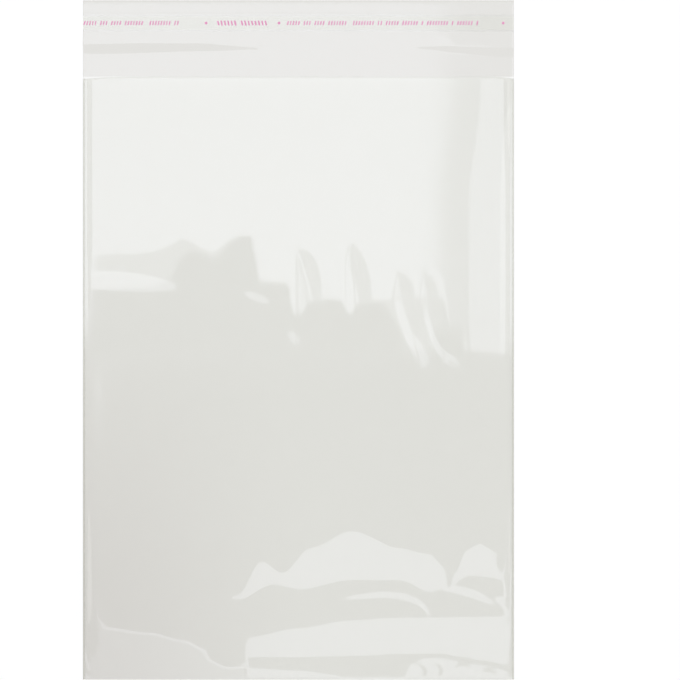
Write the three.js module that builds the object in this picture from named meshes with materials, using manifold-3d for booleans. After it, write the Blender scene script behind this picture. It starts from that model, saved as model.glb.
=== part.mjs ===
// A clear film sleeve that keeps a card clean: a flat pocket with one open end and a sticky flap.
// Millimetres. X runs across the sleeve, Y from the bottom fold to the end of the flap, Z up.
// It lies on its back panel, with the strip on the flap facing up.
import * as THREE from "three";
import { mergeVertices } from "three/addons/utils/BufferGeometryUtils.js";
import Module from "manifold-3d";

// Driving sizes

const bodyWidth = 165; // over both side seals
const bodyLength = 230; // from the bottom fold to the lip of the front panel
const flapLength = 30; // the back panel's length past the lip
const filmThickness = 0.05;

// Side seals: the two layers are cut and melted together, which leaves a fine bead
const sealWidth = 0.8;
const sealProud = 0.03; // how far the bead stands above the two layers
const sealFootClearance = 0.01; // the bead stays this far above the table
const sealEndInset = 0.1; // from the fold and from the lip
const sealedLayerGap = 0.02; // between the two layers inside a seal
const webEdgeInset = 0.05; // the film ends this far inside the bead

// Pocket: the front panel stands off the back panel, as when the sleeve has been opened once
const panelLift = 5.3;
const foldLoft = 0.5; // free height inside the bottom fold, midway across
const foldRun = 42; // how far from the fold the front panel reaches its full lift
const crossFullness = 7; // a higher power keeps the panel flat nearer to its seals
const foldFullness = 2.4; // likewise towards the fold
const waveHeight = 0.15;
const waveLengthAcross = 88;
const waveLengthAlong = 66;
const waveSlant = 0.55; // how far the waves along the sleeve lean across it
const wavePhase = 0.4; // radians, which moves the waves across the sleeve sideways

// Strip on the flap
const linerWidth = 6.6;
const linerFromFlapEnd = 5.4;
const linerThickness = 0.04;
const adhesiveMargin = 0.7; // the liner covers the adhesive by this much on both sides
const adhesiveThickness = 0.03;

// Printing on the liner, which repeats along the roll that the liner is cut from
const printRepeat = 113.7;
const printFirstDot = 47.1; // from the left edge of the sleeve
const printHeight = 1.9;
const printThickness = 0.01;
const printDotSize = 1.1;
const printShortStart = 3.8; // from the dot before it
const printShortLength = 19.9;
const printLongStart = 30.6;
const printLongLength = 73.9;
const printSecondDot = 27.9;

// How finely the film is divided
const columns = 26;
const frontRows = 27;
const rowCrowding = 1.35; // over 1, the front panel's rows lie closer together near the fold
const foldSteps = 4;
const beadSides = 12;
const dotSides = 12;
const mergeDistance = 1e-4;

// Places that follow from the sizes
const sleeveLength = bodyLength + flapLength;
const flapEnd = sleeveLength / 2;
const lip = flapEnd - flapLength;
const foldEnd = -sleeveLength / 2;
const webHalfWidth = bodyWidth / 2 - webEdgeInset;
const pocketHalfWidth = bodyWidth / 2 - sealWidth;
const sealHeight = 2 * filmThickness + sealedLayerGap + sealProud - sealFootClearance;
const adhesiveBase = filmThickness;
const linerBase = adhesiveBase + adhesiveThickness;
const printBase = linerBase + linerThickness;
const linerMiddle = flapEnd - linerFromFlapEnd - linerWidth / 2;

const wasm = await Module();
wasm.setup();

// The film

// 1 along the middle of the sleeve, falling to 0 at the inner edge of each seal
function crossRise(x) {
  const share = Math.min(1, Math.abs(x) / pocketHalfWidth);
  return 1 - share ** crossFullness;
}

// 0 at the bottom fold, rising to 1 where the front panel has its full lift
function foldRise(y) {
  const share = Math.min(1, (y - foldEnd) / foldRun);
  return 1 - (1 - share) ** foldFullness;
}

// Half the distance between the middles of the two layers where they meet in the fold
function foldRadius(x) {
  return (filmThickness + sealedLayerGap + foldLoft * crossRise(x)) / 2;
}

// Gentle waves that a thin web keeps from its roll
function waves(x, y) {
  const across = Math.sin((2 * Math.PI * x) / waveLengthAcross + wavePhase);
  const along = Math.sin((2 * Math.PI * (y + waveSlant * x)) / waveLengthAlong);
  return waveHeight * (across + along);
}

function frontHeight(x, y) {
  const lift = (panelLift + waves(x, y)) * crossRise(x) * foldRise(y);
  return filmThickness / 2 + 2 * foldRadius(x) + lift;
}

// Each row of the web gives a point from x and from the distance outwards from the film's middle
function backRow(y) {
  return (x, outwards) => [x, y, filmThickness / 2 - outwards];
}

function foldRow(angle) {
  return (x, outwards) => {
    const radius = foldRadius(x);
    const middleY = foldEnd + filmThickness / 2 + radius;
    const middleZ = filmThickness / 2 + radius;
    const y = middleY - (radius + outwards) * Math.sin(angle);
    return [x, y, middleZ - (radius + outwards) * Math.cos(angle)];
  };
}

function frontRow(y) {
  return (x, outwards) => [x, y, frontHeight(x, y) + outwards];
}

// From the end of the flap, down the back panel, round the fold and up the front panel to the lip
function webRows() {
  const rows = [backRow(flapEnd), backRow(lip)];
  for (let step = 0; step <= foldSteps; step++) {
    rows.push(foldRow((Math.PI * step) / foldSteps));
  }
  for (let row = 1; row <= frontRows; row++) {
    const share = (row / frontRows) ** rowCrowding;
    rows.push(frontRow(foldEnd + share * bodyLength));
  }
  return rows;
}

// Columns lie closer together near the seals
function columnX(column) {
  if (column === 0) return -webHalfWidth;
  if (column === columns) return webHalfWidth;
  const share = (2 * (column - 1)) / (columns - 2) - 1;
  return pocketHalfWidth * Math.sin((Math.PI / 2) * share);
}

// One web of film, folded once at the bottom
function foldedWeb() {
  const rows = webRows();
  const web = new THREE.BoxGeometry(1, 1, 1, columns, rows.length - 1, 1);
  const position = web.getAttribute("position");
  for (let i = 0; i < position.count; i++) {
    const column = Math.round((position.getX(i) + 0.5) * columns);
    const row = Math.round((position.getY(i) + 0.5) * (rows.length - 1));
    const outwards = position.getZ(i) * filmThickness;
    position.setXYZ(i, ...rows[row](columnX(column), outwards));
  }
  return web;
}

// The melted bead along one side, with an oval section
function sealBead(side) {
  const section = new THREE.Shape();
  section.absellipse(0, 0, sealWidth / 2, sealHeight / 2, 0, 2 * Math.PI);
  const bead = new THREE.ExtrudeGeometry(section, {
    depth: bodyLength - 2 * sealEndInset,
    curveSegments: beadSides / 2,
    bevelEnabled: false,
  });
  const middleX = side * (bodyWidth - sealWidth) / 2;
  bead.rotateX(Math.PI / 2);
  bead.translate(middleX, lip - sealEndInset, sealFootClearance + sealHeight / 2);
  return bead;
}

// Joining

function solidOf(geometry) {
  const bare = geometry.clone();
  bare.deleteAttribute("normal");
  bare.deleteAttribute("uv");
  const merged = mergeVertices(bare, mergeDistance);
  return new wasm.Manifold(
    new wasm.Mesh({
      numProp: 3,
      vertProperties: merged.getAttribute("position").array,
      triVerts: new Uint32Array(merged.index.array),
    }),
  );
}

function geometryOf(solid) {
  const mesh = solid.getMesh();
  const geometry = new THREE.BufferGeometry();
  geometry.setAttribute("position", new THREE.BufferAttribute(mesh.vertProperties, 3));
  geometry.setIndex(new THREE.BufferAttribute(mesh.triVerts, 1));
  geometry.computeVertexNormals();
  return geometry;
}

function sleeveFilm() {
  const left = solidOf(sealBead(-1));
  const right = solidOf(sealBead(1));
  return geometryOf(solidOf(foldedWeb()).add(left).add(right));
}

// The strip on the flap

function stripLayer(width, thickness, base) {
  const layer = new THREE.BoxGeometry(2 * webHalfWidth, width, thickness);
  layer.translate(0, linerMiddle, base + thickness / 2);
  return layer;
}

// The printing: plain bars of colour and dots between them

function printBar(start, end) {
  const bar = new THREE.BoxGeometry(end - start, printHeight, printThickness);
  bar.translate((start + end) / 2, linerMiddle, printBase + printThickness / 2);
  return bar;
}

function printDot(x) {
  const dot = new THREE.CylinderGeometry(printDotSize / 2, printDotSize / 2, printThickness, dotSides);
  dot.rotateX(Math.PI / 2);
  dot.translate(x, linerMiddle, printBase + printThickness / 2);
  return dot;
}

// Every bar and dot that falls on the liner, from left to right, cut off at its ends
function printing() {
  const bars = [];
  const dots = [];
  const firstRepeat = -webHalfWidth + printFirstDot - printRepeat;
  for (let dot = firstRepeat; dot < webHalfWidth; dot += printRepeat) {
    const spans = [
      [dot + printShortStart, printShortLength],
      [dot + printLongStart, printLongLength],
    ];
    for (const [start, length] of spans) {
      const from = Math.max(start, -webHalfWidth);
      const to = Math.min(start + length, webHalfWidth);
      if (to - from > printHeight) bars.push(printBar(from, to));
    }
    for (const x of [dot, dot + printSecondDot]) {
      if (Math.abs(x) < webHalfWidth - printDotSize) dots.push(printDot(x));
    }
  }
  return { bars, dots };
}

// The assembled sleeve

const clearFilm = { color: 0xdfdedb, roughness: 0.08, metalness: 0, transparent: true, opacity: 0.35 };
const stickyLayer = { color: 0xecebe6, roughness: 0.35, metalness: 0, transparent: true, opacity: 0.5 };
const linerFilm = { color: 0xf1f0ee, roughness: 0.2, metalness: 0, transparent: true, opacity: 0.6 };
const pinkInk = { color: 0xe3b3cc, roughness: 0.5, metalness: 0 };

const sleeve = new THREE.Group();

function addPiece(name, geometry, look) {
  const piece = new THREE.Mesh(geometry, new THREE.MeshStandardMaterial(look));
  piece.name = name;
  sleeve.add(piece);
}

addPiece("sleeve_film", sleeveFilm(), clearFilm);
const adhesiveWidth = linerWidth - 2 * adhesiveMargin;
addPiece("adhesive_strip", stripLayer(adhesiveWidth, adhesiveThickness, adhesiveBase), stickyLayer);
addPiece("release_liner", stripLayer(linerWidth, linerThickness, linerBase), linerFilm);
const { bars, dots } = printing();
bars.forEach((bar, i) => addPiece(`print_bar_${i + 1}`, bar, pinkInk));
dots.forEach((dot, i) => addPiece(`print_dot_${i + 1}`, dot, pinkInk));

export default sleeve;
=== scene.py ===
import math
import bpy
import bmesh
import numpy as np
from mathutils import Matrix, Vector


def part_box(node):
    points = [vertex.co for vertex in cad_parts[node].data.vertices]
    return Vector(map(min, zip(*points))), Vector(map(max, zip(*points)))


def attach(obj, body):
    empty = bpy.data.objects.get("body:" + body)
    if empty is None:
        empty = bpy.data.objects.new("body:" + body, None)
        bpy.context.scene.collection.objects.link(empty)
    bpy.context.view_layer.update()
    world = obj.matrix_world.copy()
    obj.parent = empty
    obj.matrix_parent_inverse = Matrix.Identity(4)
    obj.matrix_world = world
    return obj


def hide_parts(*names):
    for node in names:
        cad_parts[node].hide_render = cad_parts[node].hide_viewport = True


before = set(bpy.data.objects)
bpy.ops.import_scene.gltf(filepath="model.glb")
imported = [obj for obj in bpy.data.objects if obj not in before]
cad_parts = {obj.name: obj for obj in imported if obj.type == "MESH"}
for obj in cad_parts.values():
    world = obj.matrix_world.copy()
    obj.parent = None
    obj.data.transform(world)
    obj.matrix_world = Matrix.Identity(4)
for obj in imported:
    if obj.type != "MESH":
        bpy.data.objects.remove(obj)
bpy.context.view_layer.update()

mm = 0.001
body = "root"
filmLow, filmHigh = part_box("sleeve_film")
linerLow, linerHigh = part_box("release_liner")
adhesiveLow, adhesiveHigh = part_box("adhesive_strip")
print("frame loaded")

# Helpers

def linearColour(hexText):
    channels = [int(hexText[i:i + 2], 16) / 255 for i in (0, 2, 4)]
    return tuple(c / 12.92 if c < 0.04045 else ((c + 0.055) / 1.055) ** 2.4 for c in channels) + (1.0,)

# What one surface lets through, from the look of white through all of them
def surfaceTint(hexText, surfaces):
    return tuple(c ** (1 / surfaces) for c in linearColour(hexText))

def addNode(tree, kind, values={}, links={}, **settings):
    node = tree.nodes.new(kind)
    for name, value in settings.items():
        setattr(node, name, value)
    for socket, value in values.items():
        node.inputs[socket].default_value = value
    for socket, source in links.items():
        tree.links.new(source, node.inputs[socket])
    return node

def newMaterial(name):
    material = bpy.data.materials.new(name)
    material.use_nodes = True
    material.node_tree.nodes.clear()
    return material, material.node_tree

def coat(piece, material):
    piece.data.materials.clear()
    piece.data.materials.append(material)

def addToScene(name, data):
    piece = bpy.data.objects.new(name, data)
    bpy.context.scene.collection.objects.link(piece)
    return piece

def newPiece(name, mesh, material):
    piece = addToScene(name, mesh)
    coat(piece, material)
    return piece

# Camera, straight above the sleeve

cameraValues = {
    "height": 0.723,  # metres above the table
    "aside": 0.0159,  # metres, because the sleeve lies left of the picture's middle
    "lens": 100.0,  # mm
    "sensor": 36.0,
}

def addCamera():
    data = bpy.data.cameras.new("camera")
    data.lens = cameraValues["lens"]
    data.sensor_width = cameraValues["sensor"]
    camera = addToScene("camera", data)
    camera.location = (cameraValues["aside"], 0, cameraValues["height"])
    bpy.context.scene.camera = camera

addCamera()
print("camera placed")

# Film shape, in millimetres: one web, folded once at the bottom, with its own ripples
# A slope here is the rise of the film towards the flap, in millimetres for each millimetre

filmValues = {
    "thickness": 0.05,
    "flapLength": 30,
    "sealWidth": 0.8,
    "sealedGap": 0.02,  # between the two layers inside a seal
    "edgeInset": 0.05,  # the film ends this far inside the melted bead
    "panelLift": 5.2,  # how far the front panel rises from the fold
    "settleSpan": (45, 98),  # where the back panel comes down to the table again, towards the lip
    "lipTwist": 0.12,  # how much higher the front panel's lip is on the right
    "twistAcross": (42, 78),
    "twistFrom": 50,
    "foldLoft": 0.5,  # free height inside the fold
    # A higher fullness keeps the film flat nearer to a seal
    "leftFullness": 9,
    "rightFullness": 14,
    "lipFullness": 24,  # on the right, at the lip
    "lipFullnessFrom": 55,
    "frontRippleFullness": 30,
    "backRippleFullness": 60,
}

bodyWidth = (filmHigh.x - filmLow.x) / mm
foldEnd = filmLow.y / mm
flapEnd = filmHigh.y / mm
lip = flapEnd - filmValues["flapLength"]
webHalfWidth = bodyWidth / 2 - filmValues["edgeInset"]
pocketHalfWidth = bodyWidth / 2 - filmValues["sealWidth"]

# Where the ripples of each layer end, from the left seal to the right one. They start at y = 0, and each
# place is x and then y.
frontRipples = [
    (-82.5, 31.5), (-76, 32), (-60.5, 32), (-54, 33), (-48.5, 35.5), (-44, 38), (-39.5, 36), (-35.5, 33.5),
    (-32.5, 32.5), (-29.5, 34.5), (-25.5, 38), (-21, 40), (-17.5, 39), (-16, 30), (-14.5, 21.5), (-4, 21),
    (-1.5, 8), (1.5, 8), (3.5, 13.5), (12, 14.5), (16.5, 14), (18.5, 8.5), (20.5, 8.5), (22, 13),
    (32.5, 14), (55.5, 14), (57.2, 3.5), (62.5, 2.5), (65, -3.5), (82.5, -6),
]
backRipples = [
    (-82.5, 18.5), (-57, 19), (-52, 20.5), (-49, 22.5), (-46, 30), (-41.5, 33.5), (-35.5, 32), (-32.5, 30),
    (-29.5, 32.5), (-26, 36.5), (-21, 39), (-16.5, 38.5), (-14, 20.5), (-4, 20), (-2, 9), (1.5, 9),
    (3.5, 13), (16, 14), (18.5, 8.5), (20.5, 8.5), (23, 12.5), (32.5, 12.5), (35, 8), (39, 1), (43.5, -2.5),
    (51.5, -3.5), (53.5, 1.5), (62, 1.5), (64.5, -4), (82.5, -4.5),
]

rippleValues = {
    # slope that hides the upper lamps for each mm above y = 0, and that catches them for each mm below it
    "slopePerMm": 0.00111,
    "margin": 0.012,  # slope beyond that
    "run": 8,  # height over which the ripples begin
    "edge": 0.7,  # half the height over which one ends
    "softEdge": 4,  # how far above its end a ripple that hides the light is gone
    "leastHidden": 3,  # shorter ones are fainter
    "leastCaught": 1.5,
    "levelSpan": (-95, -5),  # where each layer rises by what its ripples lack
}

# Short bends in the front layer: start, middle and end, and half the width. The first ones hide the
# upper light, as the ripples do, and the others catch it.
dullBends = [
    ((0.6, 34), (5, 27.5), (7.3, 14), 3.1),
    ((20.9, 36), (23.6, 25.5), (26.5, 12.5), 3.7),
]
brightBends = [
    ((-3.4, 2.4), (-1.6, 1), (-0.4, -1.4), 1.9),
    ((-20, 18), (-16.5, 16.5), (-11.5, 14.5), 1.1),
    ((-84.5, 23), (-68.5, 22.5), (-48.5, 20.5), 3.3),
]
bendValues = {
    "edge": 0.6,  # half the width over which a bend's edge fades
    "tip": 0.04,  # share of the length at each end over which it keeps its width
    "bluntness": 0.4,  # a lower power gives blunter ends
}

# Two longer creases that step down to the right and rise again: start, middle and end, half the width of
# the step and its slope, the width of the rise, and the share of the length after which it narrows
creases = [
    ((37.9, 14.5), (41.7, 2), (47.2, -12.5), 2.0, 0.105, 7.0, 0.4),
    ((47.8, 14.5), (51.2, 0.5), (60, -11.5), 1.5, 0.12, 7.0, 0.7),
]
creaseFade = 14  # from its start upwards, over which a crease runs out
leastCrease = 1e-6  # keeps the step's width above zero

# The panel comes down to the fold in steps: a wide dent with its upper and lower edge, then the last fall
dentTop = [
    (-29.5, -98.5), (-23.5, -97.5), (-14, -84.5), (-6, -89), (5, -79), (20.5, -72.5), (39, -79.5),
    (50, -81.5), (55, -86), (57.5, -93.5), (60, -88.5), (64, -80), (69, -77.5), (75, -80.5), (77, -89),
    (82.5, -85),
]
dentBottom = [
    (-29.5, -98.5), (-22.5, -98.8), (-9.5, -93), (0.5, -95), (19.5, -91.5), (39, -91.5), (50.5, -96),
    (57.5, -93.5), (65.5, -89.5), (75, -90.5), (77, -91.5), (82.5, -96.5),
]
lastFall = [
    (-82.5, -105.5), (-78, -104), (-73.5, -110), (-57, -112), (-43.5, -115), (-37.5, -118), (-33.5, -123),
    (-28, -125.5), (-21, -125.5), (-19, -113.5), (0.5, -110), (19.5, -107), (39, -106), (82.5, -105.5),
]
fallSplit = (-21, -19)  # left of this the last fall is steeper
# Right of it the fall levels out here, and starts once more there
fallRest = [
    (-21, -121), (0.5, -121), (23, -120.5), (39, -119.8), (54, -119.5), (62, -120.8), (70, -122.2),
    (82.5, -124.6),
]
fallAgain = [
    (-19, -125.5), (0.5, -126.5), (14, -128), (17, -131), (39.3, -131), (43.6, -123.6), (48, -121.7),
    (54, -121.6), (62, -122.9), (70, -124.4), (82.5, -126.9),
]
# Short bends between them that catch the low light, and small wrinkles at the fold that don't, listed as
# the bends above are
lowBends = [
    ((14, -99.5), (38, -97.5), (50, -104.5), 1.3),
    ((55.5, -95), (65, -96.2), (74, -100.5), 1.7),
    ((75.5, -98), (78, -100), (80, -102.5), 1.6),
]
foldWrinkles = [
    ((45, -123.5), (48.5, -126.5), (46, -130), 1),
    ((51.5, -123), (54.5, -126), (53, -129), 1),
    ((60, -125.5), (63, -123.5), (66, -126), 1),
    ((70, -127), (73, -126), (77, -129), 1),
]

# Each pair is how far below and above its line a change starts and ends
lowerValues = {
    "dentTopEdge": (0.8, 1.6),
    "dentBottomEdge": (1, 0.8),
    "leastDent": 0.8,  # a narrower dent is fainter
    "fallEdge": (1.2, 1.2),
    "stepEdge": (0.5, 0.5),
    "gentleEdge": (0.8, 1),
    "gentleShare": 0.4,  # slope below the dent, as a share of the calm slope
    "steepFall": 0.2,  # slope of the last fall on the left
    "leastRise": 0.5,  # of crossRise, for the slopes beside the seals
    "end": -60,  # above this the slopes no longer count
}

# The low lamp, in the plane of the lamps, as the film reflects it
lowLight = {
    "edge": 425,  # how far below the sleeve's middle it starts
    "spread": 2.66,  # mm there for each mm on the film
    "reach": 2400,  # mm there for a slope of 1, which is twice the lamps' height
    "margin": 0.035,  # slope beyond what it takes to catch it
}

# The flap's shallow crosswise ridge: its middle, and how far it rises towards the flap's end
ridgeMiddle = [(-82.5, 111.4), (-37.5, 112), (-16, 111.6), (46, 111.8), (82.5, 110)]
ridgeRun = [
    (-82.5, 3.9), (-68, 4.2), (-38, 3.4), (-16, 1.2), (-13, 0), (41, 0), (48.5, 1.4), (60, 3), (82.5, 4.2),
]
ridgeValues = {
    "slope": 0.19,
    "fall": 4.0,  # its width on the far side
    "endStep": 0.12,  # how far the flap's end stands up
    "endStepSpan": (124.8, 125.9),
}

def easeBetween(low, high, v):
    t = np.clip((v - low) / (high - low), 0, 1)
    return t * t * (3 - 2 * t)

# A smooth line through the points, level at each of them
def lineThrough(points, x):
    px = np.array([p[0] for p in points], float)
    py = np.array([p[1] for p in points], float)
    i = np.clip(np.searchsorted(px, x) - 1, 0, len(px) - 2)
    return py[i] + (py[i + 1] - py[i]) * easeBetween(px[i], px[i + 1], x)

# 0 below a line across the sleeve and 1 above it. The change starts under the line and ends over it.
def aboveLine(line, y, under, over):
    return easeBetween(line - under, line + over, y)

def sealTaper(x, fullness):
    return 1 - np.minimum(1, np.abs(x) / pocketHalfWidth) ** fullness

# 1 along the middle of the pocket, and 0 at its seals
def crossRise(x, y=0.0):
    towardsLip = easeBetween(filmValues["lipFullnessFrom"], lip, y)
    right = filmValues["rightFullness"]
    right = right + (filmValues["lipFullness"] - right) * towardsLip
    return sealTaper(x, np.where(x < 0, filmValues["leftFullness"], right))

def foldRadius(x):
    gap = filmValues["sealedGap"] + filmValues["foldLoft"] * crossRise(x)
    return (filmValues["thickness"] + gap) / 2

curveSteps = 60

# A bent line that passes middle halfway
def curvePoints(start, middle, end):
    start, middle, end = (np.array(p, float) for p in (start, middle, end))
    control = 2 * middle - (start + end) / 2
    t = np.linspace(0, 1, curveSteps)[:, None]
    return (1 - t) ** 2 * start + 2 * t * (1 - t) * control + t * t * end

# The distance from the bent line, and the share of its length at which it is nearest
def nearestOnCurve(x, y, start, middle, end):
    points = curvePoints(start, middle, end)
    nearest = np.full(x.shape, np.inf)
    along = np.zeros(x.shape)
    for i, at in enumerate(points):
        distance = np.hypot(x - at[0], y - at[1])
        along = np.where(distance < nearest, i / (len(points) - 1), along)
        nearest = np.minimum(nearest, distance)
    return nearest, along

# 1 on a bend and 0 away from it
def bendShare(x, y, start, middle, end, halfWidth):
    distance, along = nearestOnCurve(x, y, start, middle, end)
    along = np.clip(along, bendValues["tip"], 1 - bendValues["tip"])
    width = halfWidth * np.sin(math.pi * along) ** bendValues["bluntness"]
    return 1 - easeBetween(width - bendValues["edge"], width + bendValues["edge"], distance)

# Where a layer lies flat it catches the upper lights above y = 0. Ripples and dull bends tilt it so that it
# doesn't, and bright bends tilt it the other way.
def rippleSlope(x, y, ends, dull=(), bright=()):
    run, edge, margin = rippleValues["run"], rippleValues["edge"], rippleValues["margin"]
    end = lineThrough(ends, x)
    hidden = easeBetween(-run, 0, y) * (1 - aboveLine(end, y, edge, rippleValues["softEdge"]))
    hidden = hidden * easeBetween(0, rippleValues["leastHidden"], end)
    caught = aboveLine(end, y, edge, edge) * (1 - easeBetween(0, run, y))
    caught = caught * easeBetween(0, rippleValues["leastCaught"], -end)
    for bend in dull:
        hidden = np.maximum(hidden, bendShare(x, y, *bend))
    for bend in bright:
        caught = np.maximum(caught, bendShare(x, y, *bend))
    over = y * rippleValues["slopePerMm"]
    hiding = (np.maximum(over, 0) + margin) * hidden * (1 - caught)
    return hiding + (np.minimum(over, 0) - margin) * caught

# How far the film lies below the panel to the right of a crease
def creaseDepth(x, y, start, middle, end, halfWidth, slope, rise, narrowing):
    points = curvePoints(start, middle, end)[::-1]
    across = x - np.interp(y, points[:, 1], points[:, 0])
    along = np.clip((start[1] - y) / (start[1] - end[1]), 0, 1)
    half = halfWidth * (1 - easeBetween(narrowing, 1, along))
    half = half * (1 - easeBetween(0, creaseFade, y - start[1])) + leastCrease
    step = np.clip((across + half) / (2 * half), 0, 1)
    return 2 * half * slope * step * (1 - easeBetween(half, half + rise, across))

# Towards the fold the film reflects the low lamp once it is steeper than this
def calmSlope(y):
    return (lowLight["edge"] + lowLight["spread"] * y) / lowLight["reach"]

# How steeply the front panel rises from the fold. Where caught is 1 it reflects the low lamp.
def lowerSlope(x, y):
    top, bottom, fall = (lineThrough(line, x) for line in (dentTop, dentBottom, lastFall))
    rest, again = (lineThrough(line, x) for line in (fallRest, fallAgain))
    belowTop = 1 - aboveLine(top, y, *lowerValues["dentTopEdge"])
    caught = aboveLine(bottom, y, *lowerValues["dentBottomEdge"]) * belowTop
    caught = caught * easeBetween(0, lowerValues["leastDent"], top - bottom)
    for bend in lowBends:
        caught = np.maximum(caught, bendShare(x, y, *bend))
    falling = 1 - aboveLine(fall, y, *lowerValues["fallEdge"])
    rightShare = easeBetween(*fallSplit, x)
    rightFall = falling * aboveLine(rest, y, *lowerValues["stepEdge"])
    rightFall = rightFall + 1 - aboveLine(again, y, *lowerValues["stepEdge"])
    for bend in foldWrinkles:
        rightFall = rightFall * (1 - bendShare(x, y, *bend))
    caught = np.maximum(caught, np.minimum(rightFall, 1) * rightShare)
    gentle = lowerValues["gentleShare"] * (1 - aboveLine(bottom, y, *lowerValues["gentleEdge"]))
    slope = calmSlope(y) * (caught + gentle * (1 - caught)) + lowLight["margin"] * caught
    slope = slope + (lowerValues["steepFall"] - slope) * falling * (1 - rightShare)
    return slope / np.maximum(crossRise(x), lowerValues["leastRise"])

# Heights are the running sums of the slopes, up each column, on rows that lie rowStep apart
rowStep = 0.2

def sumUp(slope):
    return np.cumsum(slope * rowStep, axis=0)

# Both layers are level above their ripples, so what a ripple rises is taken off below it
def frontHeights(x, y):
    lower = sumUp(lowerSlope(x, y))
    lower = np.minimum(lower, lower[np.argmin(np.abs(y[:, 0] - lowerValues["end"]))])
    ripples = sumUp(rippleSlope(x, y, frontRipples, dullBends, brightBends))
    missing = filmValues["panelLift"] - lower[-1] - ripples[-1]
    panel = lower + missing * easeBetween(*rippleValues["levelSpan"], y)
    twist = filmValues["lipTwist"] * easeBetween(*filmValues["twistAcross"], x)
    panel = panel + twist * easeBetween(filmValues["twistFrom"], lip, y)
    for crease in creases:
        ripples = ripples - creaseDepth(x, y, *crease)
    ripples = ripples * sealTaper(x, filmValues["frontRippleFullness"])
    base = filmValues["thickness"] / 2 + 2 * foldRadius(x)
    return base + panel * crossRise(x, y) + ripples

def backHeights(x, y):
    ripples = sumUp(rippleSlope(x, y, backRipples))
    ripples = ripples + (ripples[-1].max() - ripples[-1]) * easeBetween(*rippleValues["levelSpan"], y)
    ripples = ripples * (1 - easeBetween(*filmValues["settleSpan"], y))
    ripples = ripples * sealTaper(x, filmValues["backRippleFullness"])
    run = lineThrough(ridgeRun, x)
    foot = lineThrough(ridgeMiddle, x) - run / 2
    rise = ridgeValues["slope"] * np.clip(y - foot, 0, run)
    ridge = rise * (1 - easeBetween(foot + run, foot + run + ridgeValues["fall"], y))
    step = ridgeValues["endStep"] * easeBetween(*ridgeValues["endStepSpan"], y)
    return filmValues["thickness"] / 2 + ripples + ridge + step

# Film mesh
# A band of columns or rows has its start, its end and the distance between two of them, which is less
# where the film bends more

foldStart = foldEnd + 1.2  # the layers end here, and the film goes round the fold
columnBands = [
    (-pocketHalfWidth, -35.5, 1.54), (-35.5, 30.5, 1), (30.5, 31.2, 0.7), (31.2, 62.4, 0.65),
    (62.4, 63.6, 1.2), (63.6, pocketHalfWidth, 1.065),
]
backBands = [
    (flapEnd, 126.2, 1.9), (126.2, 124.4, 0.3), (124.4, 118, 1.6), (118, 106, 0.6), (106, 45, 4.5),
    (45, -12, 1.2), (-12, foldStart, 8),
]
frontBands = [
    (foldStart, -118, 0.5), (-118, -68, 0.9), (-68, -18, 3.8), (-18, 40, 0.85), (40, 98, 3.3), (98, lip, 1),
]
foldSteps = 8

def placesIn(bands):
    places = []
    for start, stop, spacing in bands:
        count = max(1, round(abs(stop - start) / spacing))
        places += [start + (stop - start) * i / count for i in range(count)]
    return places + [bands[-1][1]]

def layerPoints(heights, bands, x):
    y = np.arange(foldEnd, flapEnd + rowStep, rowStep)
    z = heights(*np.meshgrid(x, y))
    rows = []
    for place in placesIn(bands):
        rowHeights = [np.interp(place, y, column) for column in z.T]
        rows.append(np.stack([x, np.full(len(x), place), rowHeights], 1))
    return rows

def foldPoints(x):
    radius = foldRadius(x)
    middleY = foldEnd + filmValues["thickness"] / 2 + radius
    middleZ = filmValues["thickness"] / 2 + radius
    rings = []
    for step in range(foldSteps + 1):
        angle = math.pi * step / foldSteps
        y, z = middleY - radius * math.sin(angle), middleZ - radius * math.cos(angle)
        rings.append(np.stack([x, y, z], 1))
    return rings

# A closed shell between two grids of points in millimetres, with a rim round their edges
def shellMesh(name, outer, inner, smooth):
    count, width = outer.shape[:2]
    index = np.arange(count * width).reshape(count, width)
    a, b, c, d = index[:-1, :-1], index[:-1, 1:], index[1:, 1:], index[1:, :-1]
    outerFaces = np.stack([a, b, c, d], 2).reshape(-1, 4)
    innerFaces = outerFaces[:, ::-1] + count * width
    rim = np.concatenate([index[0, ::-1], index[1:, 0], index[-1, 1:], index[-2:0:-1, -1]])
    following = np.roll(rim, -1)
    rimFaces = np.stack([rim, following, following + count * width, rim + count * width], 1)
    points = np.concatenate([outer.reshape(-1, 3), inner.reshape(-1, 3)]) * mm
    faces = np.concatenate([outerFaces, innerFaces, rimFaces])
    rimStart = len(faces) - len(rimFaces)
    mesh = bpy.data.meshes.new(name)
    mesh.from_pydata(points.tolist(), [], faces.tolist())
    mesh.polygons.foreach_set("use_smooth", [smooth and i < rimStart for i in range(len(faces))])
    mesh.update()
    turnOutwards(mesh)
    return mesh

def turnOutwards(mesh):
    shape = bmesh.new()
    shape.from_mesh(mesh)
    bmesh.ops.recalc_face_normals(shape, faces=shape.faces)
    if shape.calc_volume(signed=True) < 0:
        bmesh.ops.reverse_faces(shape, faces=shape.faces)
    shape.to_mesh(mesh)
    shape.free()

# From the end of the flap, down the back panel, round the fold and up the front panel to the lip
def filmMesh():
    x = np.array([-webHalfWidth] + placesIn(columnBands) + [webHalfWidth])
    back = layerPoints(backHeights, backBands, x)
    front = layerPoints(frontHeights, frontBands, x)
    middle = np.array(back + foldPoints(x) + front)
    outwards = np.cross(np.gradient(middle, axis=1), np.gradient(middle, axis=0))
    outwards /= np.linalg.norm(outwards, axis=2, keepdims=True)
    half = outwards * filmValues["thickness"] / 2
    return shellMesh("sleeveFilm", middle + half, middle - half, smooth=True)

# Materials

# The Mix node's sockets for two colours and for the mixed one
colourA = 6
colourB = 7
mixedColour = 2

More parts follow.
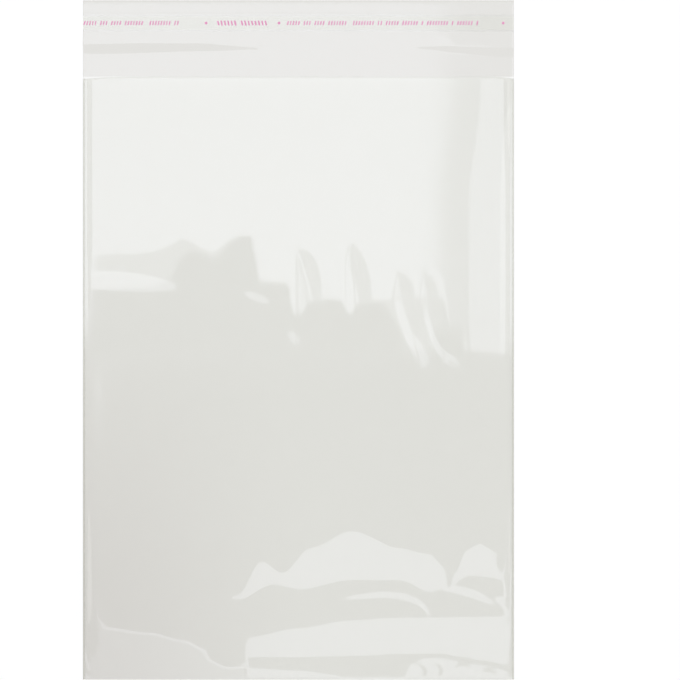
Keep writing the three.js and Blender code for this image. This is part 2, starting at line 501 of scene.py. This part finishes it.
# Cast polypropylene film: clear, a little grey in two layers, with faintly softened reflections off its skin
filmLook = {
    "reflection": 0.0387,  # straight on, for an IOR of 1.49
    "roughness": (0.06, 0.1),
    "clearest": "F0F0EA",  # what white looks like through both layers, on the right
    # painted shade: the body's lower left is drawn greyer, standing in for the darker room that the film
    # reflects there
    "paintedShadeGrey": "E4E2DD",  # the same at the lower left
    # along each axis, where the painted shade goes over into the clearest in mm, and what is left of it
    # there
    "paintedShadeFalloff": (("X", (-90, 10), 0.1), ("Y", (-130, 50), 0.05)),
    "flap": "EBEAE6",  # and through the flap's single layer
    "wetted": "F8F8F4",  # and where the adhesive wets it
    "flapSpan": (0.7, 0.9),  # mm above the lip, where the single layer starts
    "dieLineSpacing": 0.4,  # mm, across the web
    "dieLineChanges": 12,  # in a metre, along the web
}

def fresnelMix(tree, reflection, transparent, glossy):
    facing = addNode(tree, "ShaderNodeLayerWeight", {"Blend": 0.5})
    fifth = addNode(tree, "ShaderNodeMath", {1: 5.0}, {0: facing.outputs["Facing"]}, operation="POWER")
    share = addNode(tree, "ShaderNodeMath", {1: 1 - reflection, 2: reflection}, {0: fifth.outputs[0]},
                    operation="MULTIPLY_ADD")
    mix = addNode(tree, "ShaderNodeMixShader", {},
                  {0: share.outputs[0], 1: transparent.outputs[0], 2: glossy.outputs[0]})
    addNode(tree, "ShaderNodeOutputMaterial", {}, {"Surface": mix.outputs[0]})

# Painted shade: the lower left is drawn a shade greyer than the right side, standing in for the darker room
# that the film reflects there
def bodyTintWithPaintedShade(tree, parts):
    shares = []
    for axis, (start, stop), least in filmLook["paintedShadeFalloff"]:
        share = addNode(tree, "ShaderNodeMapRange",
                        {"From Min": start * mm, "From Max": stop * mm, "To Min": 1, "To Max": least},
                        {"Value": parts.outputs[axis]}, interpolation_type="SMOOTHSTEP")
        shares.append(share.outputs[0])
    # how much of the painted shade lies here
    paintedShadeFalloff = addNode(tree, "ShaderNodeMath", {}, {0: shares[0], 1: shares[1]}, operation="MULTIPLY")
    clearest, paintedShadeGrey = surfaceTint(filmLook["clearest"], 4), surfaceTint(filmLook["paintedShadeGrey"], 4)
    return addNode(tree, "ShaderNodeMix", {colourA: clearest, colourB: paintedShadeGrey}, {0: paintedShadeFalloff.outputs[0]},
                   data_type="RGBA")

# The adhesive fills the film's haze where it touches it
def flapTint(tree, parts):
    middle, half = (adhesiveLow.y + adhesiveHigh.y) / 2, (adhesiveHigh.y - adhesiveLow.y) / 2
    wetted = addNode(tree, "ShaderNodeMath", {1: middle, 2: half}, {0: parts.outputs["Y"]},
                     operation="COMPARE")
    dry, wet = surfaceTint(filmLook["flap"], 2), surfaceTint(filmLook["wetted"], 2)
    return addNode(tree, "ShaderNodeMix", {colourA: dry, colourB: wet}, {0: wetted.outputs[0]},
                   data_type="RGBA")

# Die lines run along the web and make the gloss a little uneven. The noise lies mostly within noiseSpan.
noiseSpan = (0.3, 0.7)

def dieLineGloss(tree, place):
    across, along = 1 / (filmLook["dieLineSpacing"] * mm), filmLook["dieLineChanges"]
    lines = addNode(tree, "ShaderNodeMapping", {"Scale": (across, along, along)},
                    {"Vector": place.outputs["Object"]})
    noise = addNode(tree, "ShaderNodeTexNoise", {"Scale": 1.0, "Detail": 1.0}, {"Vector": lines.outputs[0]})
    (least, most), (low, high) = noiseSpan, filmLook["roughness"]
    return addNode(tree, "ShaderNodeMapRange",
                   {"From Min": least, "From Max": most, "To Min": low, "To Max": high},
                   {"Value": noise.outputs[0]})

def castFilm():
    material, tree = newMaterial("castPolypropyleneFilm")
    place = addNode(tree, "ShaderNodeTexCoord")
    parts = addNode(tree, "ShaderNodeSeparateXYZ", {}, {0: place.outputs["Object"]})
    low, high = ((lip + reach) * mm for reach in filmLook["flapSpan"])
    onFlap = addNode(tree, "ShaderNodeMapRange", {"From Min": low, "From Max": high},
                     {"Value": parts.outputs["Y"]})
    tint = addNode(tree, "ShaderNodeMix", {}, {0: onFlap.outputs[0],
                   colourA: bodyTintWithPaintedShade(tree, parts).outputs[mixedColour],
                   colourB: flapTint(tree, parts).outputs[mixedColour]}, data_type="RGBA")
    transparent = addNode(tree, "ShaderNodeBsdfTransparent", {}, {"Color": tint.outputs[mixedColour]})
    gloss = dieLineGloss(tree, place)
    glossy = addNode(tree, "ShaderNodeBsdfAnisotropic", {}, {"Roughness": gloss.outputs[0]})
    fresnelMix(tree, filmLook["reflection"], transparent, glossy)
    return material

# A clear layer with one tint, told as white looks through both its surfaces
def clearLayer(name, look):
    material, tree = newMaterial(name)
    transparent = addNode(tree, "ShaderNodeBsdfTransparent", {"Color": surfaceTint(look["tint"], 2)})
    glossy = addNode(tree, "ShaderNodeBsdfAnisotropic", {"Roughness": look["roughness"]})
    fresnelMix(tree, look["reflection"], transparent, glossy)
    return material

# Melted polypropylene: the cut and welded edge, cloudier than the film
sealLook = {"reflection": 0.03, "roughness": 0.2, "tint": "F9F9F6"}

# Acrylic adhesive: clear, faintly warm, and dull because the liner lies wet on it
adhesiveLook = {"reflection": 0.004, "roughness": 0.4, "tint": "FEFEFC"}

# Siliconised liner film: clear, with a slightly softer shine than the sleeve
linerLook = {"reflection": 0.0387, "roughness": 0.1, "tint": "FEFEFD"}

# Flexographic ink: thin matt pink, a little uneven where the plate pressed less
inkLook = {"full": "DD86AC", "thin": "E8A3C0", "roughness": 0.5, "mottle": 0.35}  # mottle in mm

def pinkInk():
    material, tree = newMaterial("flexographicInk")
    place = addNode(tree, "ShaderNodeTexCoord")
    noise = addNode(tree, "ShaderNodeTexNoise", {"Scale": 1 / (inkLook["mottle"] * mm), "Detail": 2.0},
                    {"Vector": place.outputs["Object"]})
    full, thin = linearColour(inkLook["full"]), linearColour(inkLook["thin"])
    colour = addNode(tree, "ShaderNodeMix", {colourA: full, colourB: thin}, {0: noise.outputs[0]},
                     data_type="RGBA")
    shader = addNode(tree, "ShaderNodeBsdfPrincipled", {"Roughness": inkLook["roughness"]},
                     {"Base Color": colour.outputs[mixedColour]})
    addNode(tree, "ShaderNodeOutputMaterial", {}, {"Surface": shader.outputs[0]})
    return material

filmMaterial = castFilm()
sealMaterial = clearLayer("meltedPolypropylene", sealLook)
adhesiveMaterial = clearLayer("acrylicAdhesive", adhesiveLook)
linerMaterial = clearLayer("siliconisedLiner", linerLook)
inkMaterial = pinkInk()
print("materials made")

# Flat, the web is 490 mm long: 260 mm of back panel and flap, and 230 mm of front panel
film = newPiece("sleeveFilm", filmMesh(), filmMaterial)
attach(film, body)
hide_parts("sleeve_film")
print("film made:", len(film.data.polygons), "faces")

# Geometry Nodes

def newTree(name, sizes):
    tree = bpy.data.node_groups.new(name, "GeometryNodeTree")
    tree.interface.new_socket("Geometry", in_out="OUTPUT", socket_type="NodeSocketGeometry")
    for label, kind in sizes.items():
        tree.interface.new_socket(label, in_out="INPUT", socket_type=kind)
    return tree, tree.nodes.new("NodeGroupInput"), tree.nodes.new("NodeGroupOutput")

# Realizes the instances, gives the shape its material and sends it out
def finishTree(tree, shape, given, result):
    whole = addNode(tree, "GeometryNodeRealizeInstances", {}, {0: shape.outputs[0]})
    coated = addNode(tree, "GeometryNodeSetMaterial", {},
                     {0: whole.outputs[0], "Material": given.outputs["Material"]})
    tree.links.new(coated.outputs[0], result.inputs[0])

def bakeTree(name, tree, values):
    carrier = addToScene(name, bpy.data.meshes.new(name))
    modifier = carrier.modifiers.new("nodes", "NODES")
    modifier.node_group = tree
    sockets = {s.name: s.identifier for s in tree.interface.items_tree if s.in_out == "INPUT"}
    for label, value in values.items():
        modifier[sockets[label]] = value
    bpy.context.view_layer.update()
    evaluated = carrier.evaluated_get(bpy.context.evaluated_depsgraph_get())
    mesh = bpy.data.meshes.new_from_object(evaluated)
    carrier.modifiers.remove(modifier)
    carrier.data = mesh
    return carrier

# Side seals: a melted bead along each edge, a little uneven where the knife passed

sealValues = {
    "Length": 229.8 * mm,
    "Half Width": 0.4 * mm,
    "Flatness": 0.175,  # height over width
    "Waver": 0.12,  # share of the width
    "Spacing": 1.5 * mm,
}
sealEndInset = 0.1  # from the fold
sealMiddleHeight = 0.08
sealSides = 12
waverScale = 260.0  # waves in a metre

def sealTree():
    kinds = dict.fromkeys(sealValues, "NodeSocketFloat")
    kinds.update({"Start": "NodeSocketVector", "Aside": "NodeSocketFloat", "Material": "NodeSocketMaterial"})
    tree, given, result = newTree("sideSeals", kinds)
    reach = addNode(tree, "ShaderNodeCombineXYZ", {}, {1: given.outputs["Length"]})
    line = addNode(tree, "GeometryNodeCurvePrimitiveLine", {}, {"End": reach.outputs[0]})
    finer = addNode(tree, "GeometryNodeResampleCurve", {},
                    {0: line.outputs[0], "Length": given.outputs["Spacing"]}, mode="LENGTH")
    noise = addNode(tree, "ShaderNodeTexNoise", {"Scale": waverScale, "Detail": 1.0})
    swing = addNode(tree, "ShaderNodeMath", {1: 0.5}, {0: noise.outputs[0]}, operation="SUBTRACT")
    waver = addNode(tree, "ShaderNodeMath", {2: 1.0}, {0: swing.outputs[0], 1: given.outputs["Waver"]},
                    operation="MULTIPLY_ADD")
    profile = addNode(tree, "GeometryNodeCurvePrimitiveCircle", {"Resolution": sealSides},
                      {"Radius": given.outputs["Half Width"]})
    bead = addNode(tree, "GeometryNodeCurveToMesh", {"Fill Caps": True},
                   {"Curve": finer.outputs[0], "Profile Curve": profile.outputs[0],
                    "Scale": waver.outputs[0]})
    flat = addNode(tree, "ShaderNodeCombineXYZ", {0: 1.0, 1: 1.0}, {2: given.outputs["Flatness"]})
    flatten = addNode(tree, "GeometryNodeTransform", {},
                      {0: bead.outputs[0], "Scale": flat.outputs[0], "Translation": given.outputs["Start"]})
    aside = addNode(tree, "ShaderNodeCombineXYZ", {}, {0: given.outputs["Aside"]})
    other = addNode(tree, "GeometryNodeTransform", {},
                    {0: flatten.outputs[0], "Translation": aside.outputs[0]})
    both = addNode(tree, "GeometryNodeJoinGeometry", {}, {0: flatten.outputs[0]})
    tree.links.new(other.outputs[0], both.inputs[0])
    smooth = addNode(tree, "GeometryNodeSetShadeSmooth", {}, {0: both.outputs[0]})
    finishTree(tree, smooth, given, result)
    return tree

def addSeals():
    middle = (bodyWidth - filmValues["sealWidth"]) / 2 * mm
    start = (-middle, (foldEnd + sealEndInset) * mm, sealMiddleHeight * mm)
    places = {"Start": start, "Aside": 2 * middle, "Material": sealMaterial}
    seals = bakeTree("sideSeals", sealTree(), {**sealValues, **places})
    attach(seals, body)
    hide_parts("sleeve_film")

addSeals()
print("seals made")

# The strip on the flap, in millimetres: adhesive and release liner

stripValues = {
    "adhesive": (0.053, 0.077),  # under and upper side, a hair off the film and the liner
    "liner": (0.081, 0.12),
    "adhesiveEdgeWaver": 0.12,  # the coated edges aren't quite straight
    # their slow and quick wave in radians a mm, and a shift
    "lowerEdge": (0.55, 1.7, 0),
    "upperEdge": (0.47, 1.9, 2),
    "linerEdgeLift": 0.02,  # the liner's edges stand off a little
    "linerEdgeRun": 0.8,
    "columns": 180,
    "rows": 14,
}

# Two waves along a coated edge, together between -0.2 and 1
def edgeWaver(x, slow, quick, shift):
    return (1 + np.sin(slow * x + shift) + 0.5 * np.sin(quick * x)) / 2.5

def stripMesh(name, low, high, heights, waver):
    x = np.linspace(low.x / mm, high.x / mm, stripValues["columns"])
    v = np.linspace(0, 1, stripValues["rows"])[:, None]
    lowY = low.y / mm + waver * edgeWaver(x, *stripValues["lowerEdge"])
    highY = high.y / mm - waver * edgeWaver(x, *stripValues["upperEdge"])
    gridY = lowY + v * (highY - lowY)
    gridX = np.broadcast_to(x, gridY.shape)
    under, over = (np.stack([gridX, gridY, z], 2) for z in heights(gridY))
    return shellMesh(name, over, under, smooth=False)

def adhesiveHeights(y):
    return [np.full(y.shape, z) for z in stripValues["adhesive"]]

def linerHeights(y):
    fromEdge = np.minimum(y - linerLow.y / mm, linerHigh.y / mm - y)
    lift = stripValues["linerEdgeLift"] * (1 - easeBetween(0, stripValues["linerEdgeRun"], fromEdge))
    return [z + lift for z in stripValues["liner"]]

adhesiveMesh = stripMesh("adhesiveLayer", adhesiveLow, adhesiveHigh, adhesiveHeights,
                         stripValues["adhesiveEdgeWaver"])
linerMesh = stripMesh("releaseLiner", linerLow, linerHigh, linerHeights, 0)
adhesive = newPiece("adhesiveLayer", adhesiveMesh, adhesiveMaterial)
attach(adhesive, body)
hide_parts("adhesive_strip")
liner = newPiece("releaseLiner", linerMesh, linerMaterial)
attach(liner, body)
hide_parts("release_liner")
print("strip made")

# Printing on the liner: rows of small slanted strokes where the bars of colour are

strokeKinds = {
    "Count": "NodeSocketInt",
    "Pitch": "NodeSocketFloat",
    "Group": "NodeSocketInt",
    "Other Group": "NodeSocketInt",
    "Width": "NodeSocketFloat",
    "Height": "NodeSocketFloat",
    "Slant": "NodeSocketFloat",
    "Thickness": "NodeSocketFloat",
    "Start": "NodeSocketVector",
    "Seed": "NodeSocketInt",
    "Material": "NodeSocketMaterial",
}
plainStrokes = {
    "Pitch": 1.05 * mm,
    "Group": 9,
    "Other Group": 13,
    "Width": 0.48 * mm,
    "Height": 1.65 * mm,
    "Slant": 0.2,
}
boldStrokes = {
    "Pitch": 1.3 * mm,
    "Group": 10,
    "Other Group": 50,
    "Width": 0.6 * mm,
    "Height": 1.9 * mm,
    "Slant": -0.2,
}
printValues = {
    "thickness": 0.01,
    "lift": 0.003,  # above the middle of the bar that a row stands for
    "firstGap": 4.0,  # by how many strokes the first group is shorter
    "least": (0.85, 0.86, 1.0),  # a stroke's size as a share of the given one
    "most": (1.15, 1.0, 1.0),
}

def strokeTree():
    tree, given, result = newTree("printStrokes", strokeKinds)
    step = addNode(tree, "ShaderNodeCombineXYZ", {}, {0: given.outputs["Pitch"]})
    line = addNode(tree, "GeometryNodeMeshLine", {},
                   {"Count": given.outputs["Count"], "Start Location": given.outputs["Start"],
                    "Offset": step.outputs[0]})
    index = addNode(tree, "GeometryNodeInputIndex")
    # every Group-th and every Other Group-th stroke is left out, so that the groups differ in length
    shifted = addNode(tree, "ShaderNodeMath", {1: printValues["firstGap"]}, {0: index.outputs[0]},
                      operation="ADD")
    place = addNode(tree, "ShaderNodeMath", {}, {0: shifted.outputs[0], 1: given.outputs["Group"]},
                    operation="MODULO")
    otherPlace = addNode(tree, "ShaderNodeMath", {},
                         {0: shifted.outputs[0], 1: given.outputs["Other Group"]}, operation="MODULO")
    either = addNode(tree, "ShaderNodeMath", {}, {0: place.outputs[0], 1: otherPlace.outputs[0]},
                     operation="MINIMUM")
    gap = addNode(tree, "ShaderNodeMath", {1: 0.5}, {0: either.outputs[0]}, operation="LESS_THAN")
    groups = addNode(tree, "GeometryNodeDeleteGeometry", {}, {0: line.outputs[0], 1: gap.outputs[0]},
                     domain="POINT")
    size = addNode(tree, "ShaderNodeCombineXYZ", {}, {0: given.outputs["Width"], 1: given.outputs["Height"],
                   2: given.outputs["Thickness"]})
    stroke = addNode(tree, "GeometryNodeMeshCube", {"Vertices Y": 6}, {"Size": size.outputs[0]})
    position = addNode(tree, "GeometryNodeInputPosition")
    parts = addNode(tree, "ShaderNodeSeparateXYZ", {}, {0: position.outputs[0]})
    lean = addNode(tree, "ShaderNodeMath", {}, {0: parts.outputs[1], 1: given.outputs["Slant"]},
                   operation="MULTIPLY")
    offset = addNode(tree, "ShaderNodeCombineXYZ", {}, {0: lean.outputs[0]})
    slanted = addNode(tree, "GeometryNodeSetPosition", {},
                      {0: stroke.outputs[0], "Offset": offset.outputs[0]})
    share = addNode(tree, "FunctionNodeRandomValue",
                    {"Min": printValues["least"], "Max": printValues["most"]},
                    {"Seed": given.outputs["Seed"]}, data_type="FLOAT_VECTOR")
    spread = addNode(tree, "GeometryNodeInstanceOnPoints", {},
                     {0: groups.outputs[0], "Instance": slanted.outputs[0], "Scale": share.outputs[0]})
    finishTree(tree, spread, given, result)
    return tree

def addPrint(tree, number, look):
    low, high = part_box(f"print_bar_{number}")
    count = int((high.x - low.x - look["Width"]) / look["Pitch"]) + 1
    left = (low.x + high.x - (count - 1) * look["Pitch"]) / 2
    height = (low.z + high.z) / 2 + printValues["lift"] * mm
    places = {"Count": count, "Start": (left, (low.y + high.y) / 2, height), "Seed": number}
    rest = {"Thickness": printValues["thickness"] * mm, "Material": inkMaterial}
    marks = bakeTree(f"printStrokes{number}", tree, {**look, **places, **rest})
    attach(marks, body)
    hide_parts(f"print_bar_{number}")

strokes = strokeTree()
for number, look in ((1, plainStrokes), (2, boldStrokes), (3, plainStrokes)):
    addPrint(strokes, number, look)
for number in (1, 2, 3):
    coat(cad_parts[f"print_dot_{number}"], inkMaterial)
print("print made")

# Floor, lights and world

floorValues = {
    "half": 2.5,  # metres, half its width
    "height": -0.2 * mm,
    "glow": 0.892,  # how bright it looks to the camera
    "grey": 0.12,  # what it sends back of the lamps' light
}

# Matt white paper that also glows to the camera and through the film, so that it looks evenly white
def addFloor():
    material, tree = newMaterial("whiteTable")
    rays = addNode(tree, "ShaderNodeLightPath")
    kinds = ("Is Camera Ray", "Is Glossy Ray", "Is Transmission Ray")
    direct, mirrored, through = (rays.outputs[kind] for kind in kinds)
    either = addNode(tree, "ShaderNodeMath", {}, {0: direct, 1: mirrored}, operation="MAXIMUM")
    seen = addNode(tree, "ShaderNodeMath", {}, {0: either.outputs[0], 1: through}, operation="MAXIMUM")
    strength = addNode(tree, "ShaderNodeMath", {1: floorValues["glow"]}, {0: seen.outputs[0]},
                       operation="MULTIPLY")
    glow = addNode(tree, "ShaderNodeEmission", {}, {"Strength": strength.outputs[0]})
    grey = floorValues["grey"]
    paper = addNode(tree, "ShaderNodeBsdfDiffuse", {"Color": (grey, grey, grey, 1)})
    both = addNode(tree, "ShaderNodeAddShader", {}, {0: paper.outputs[0], 1: glow.outputs[0]})
    addNode(tree, "ShaderNodeOutputMaterial", {}, {"Surface": both.outputs[0]})
    half, z = floorValues["half"], floorValues["height"]
    mesh = bpy.data.meshes.new("table")
    corners = [(-half, -half, z), (half, -half, z), (half, half, z), (-half, half, z)]
    mesh.from_pydata(corners, [], [(0, 1, 2, 3)])
    newPiece("table", mesh, material)

# Lamps hang at one height: their span along x and along y in metres, and how bright each looks
lampHeight = 1.2
lampColour = "ECEFFF"  # cool daylight
lamps = {
    "upperLeft": {"x": (-2.2, 0.122), "y": (0.0, 2.2), "bright": 1.5},
    "upperGap": {"x": (0.122, 0.27), "y": (0.0, 2.2), "bright": 0.5},
    "upperRight": {"x": (0.27, 3.4), "y": (0.0, 2.2), "bright": 1.5},
    "lower": {"x": (-0.5, 3.4), "y": (-0.64, -0.425), "bright": 1.55},
    "lowerDim": {"x": (-1.3, 0.3), "y": (-1.5, -0.64), "bright": 0.57},
    "lowerLeft": {"x": (-1.15, -0.75), "y": (-0.62, -0.36), "bright": 1.3},
}
# Two more light the paper and the ink, and no film reflects them
fillLamps = {"fillLeft": (-2.0, -0.4, 1.3), "fillRight": (2.0, -0.4, 1.3)}
fillSize = 0.8
fillPower = 9.0

def addLamp(name, values):
    (left, right), (near, far) = values["x"], values["y"]
    data = bpy.data.lights.new(name, "AREA")
    data.shape = "RECTANGLE"
    data.size, data.size_y = right - left, far - near
    data.energy = values["bright"] * data.size * data.size_y * math.pi
    data.color = linearColour(lampColour)[:3]
    lamp = addToScene(name, data)
    lamp.location = ((left + right) / 2, (near + far) / 2, lampHeight)
    lamp.visible_camera = False

def addFill(name, place):
    data = bpy.data.lights.new(name, "AREA")
    data.size = fillSize
    data.energy = fillPower
    lamp = addToScene(name, data)
    lamp.location = place
    lamp.rotation_euler = (0, math.atan2(place[0], place[2]), 0)
    lamp.visible_glossy = False
    lamp.visible_camera = False

worldBright = 0.2

def addWorld():
    world = bpy.data.worlds.new("studio")
    world.use_nodes = True
    tree = world.node_tree
    tree.nodes.clear()
    rays = addNode(tree, "ShaderNodeLightPath")
    white = (1, 1, 1, 1)
    room = addNode(tree, "ShaderNodeBackground", {"Color": white, "Strength": worldBright})
    backdrop = addNode(tree, "ShaderNodeBackground", {"Color": white, "Strength": 1.0})
    mix = addNode(tree, "ShaderNodeMixShader", {},
                  {0: rays.outputs["Is Camera Ray"], 1: room.outputs[0], 2: backdrop.outputs[0]})
    addNode(tree, "ShaderNodeOutputWorld", {}, {"Surface": mix.outputs[0]})
    bpy.context.scene.world = world

addFloor()
for name, values in lamps.items():
    addLamp(name, values)
for name, place in fillLamps.items():
    addFill(name, place)
addWorld()
bpy.context.scene.view_settings.view_transform = "Standard"
print("stage set")
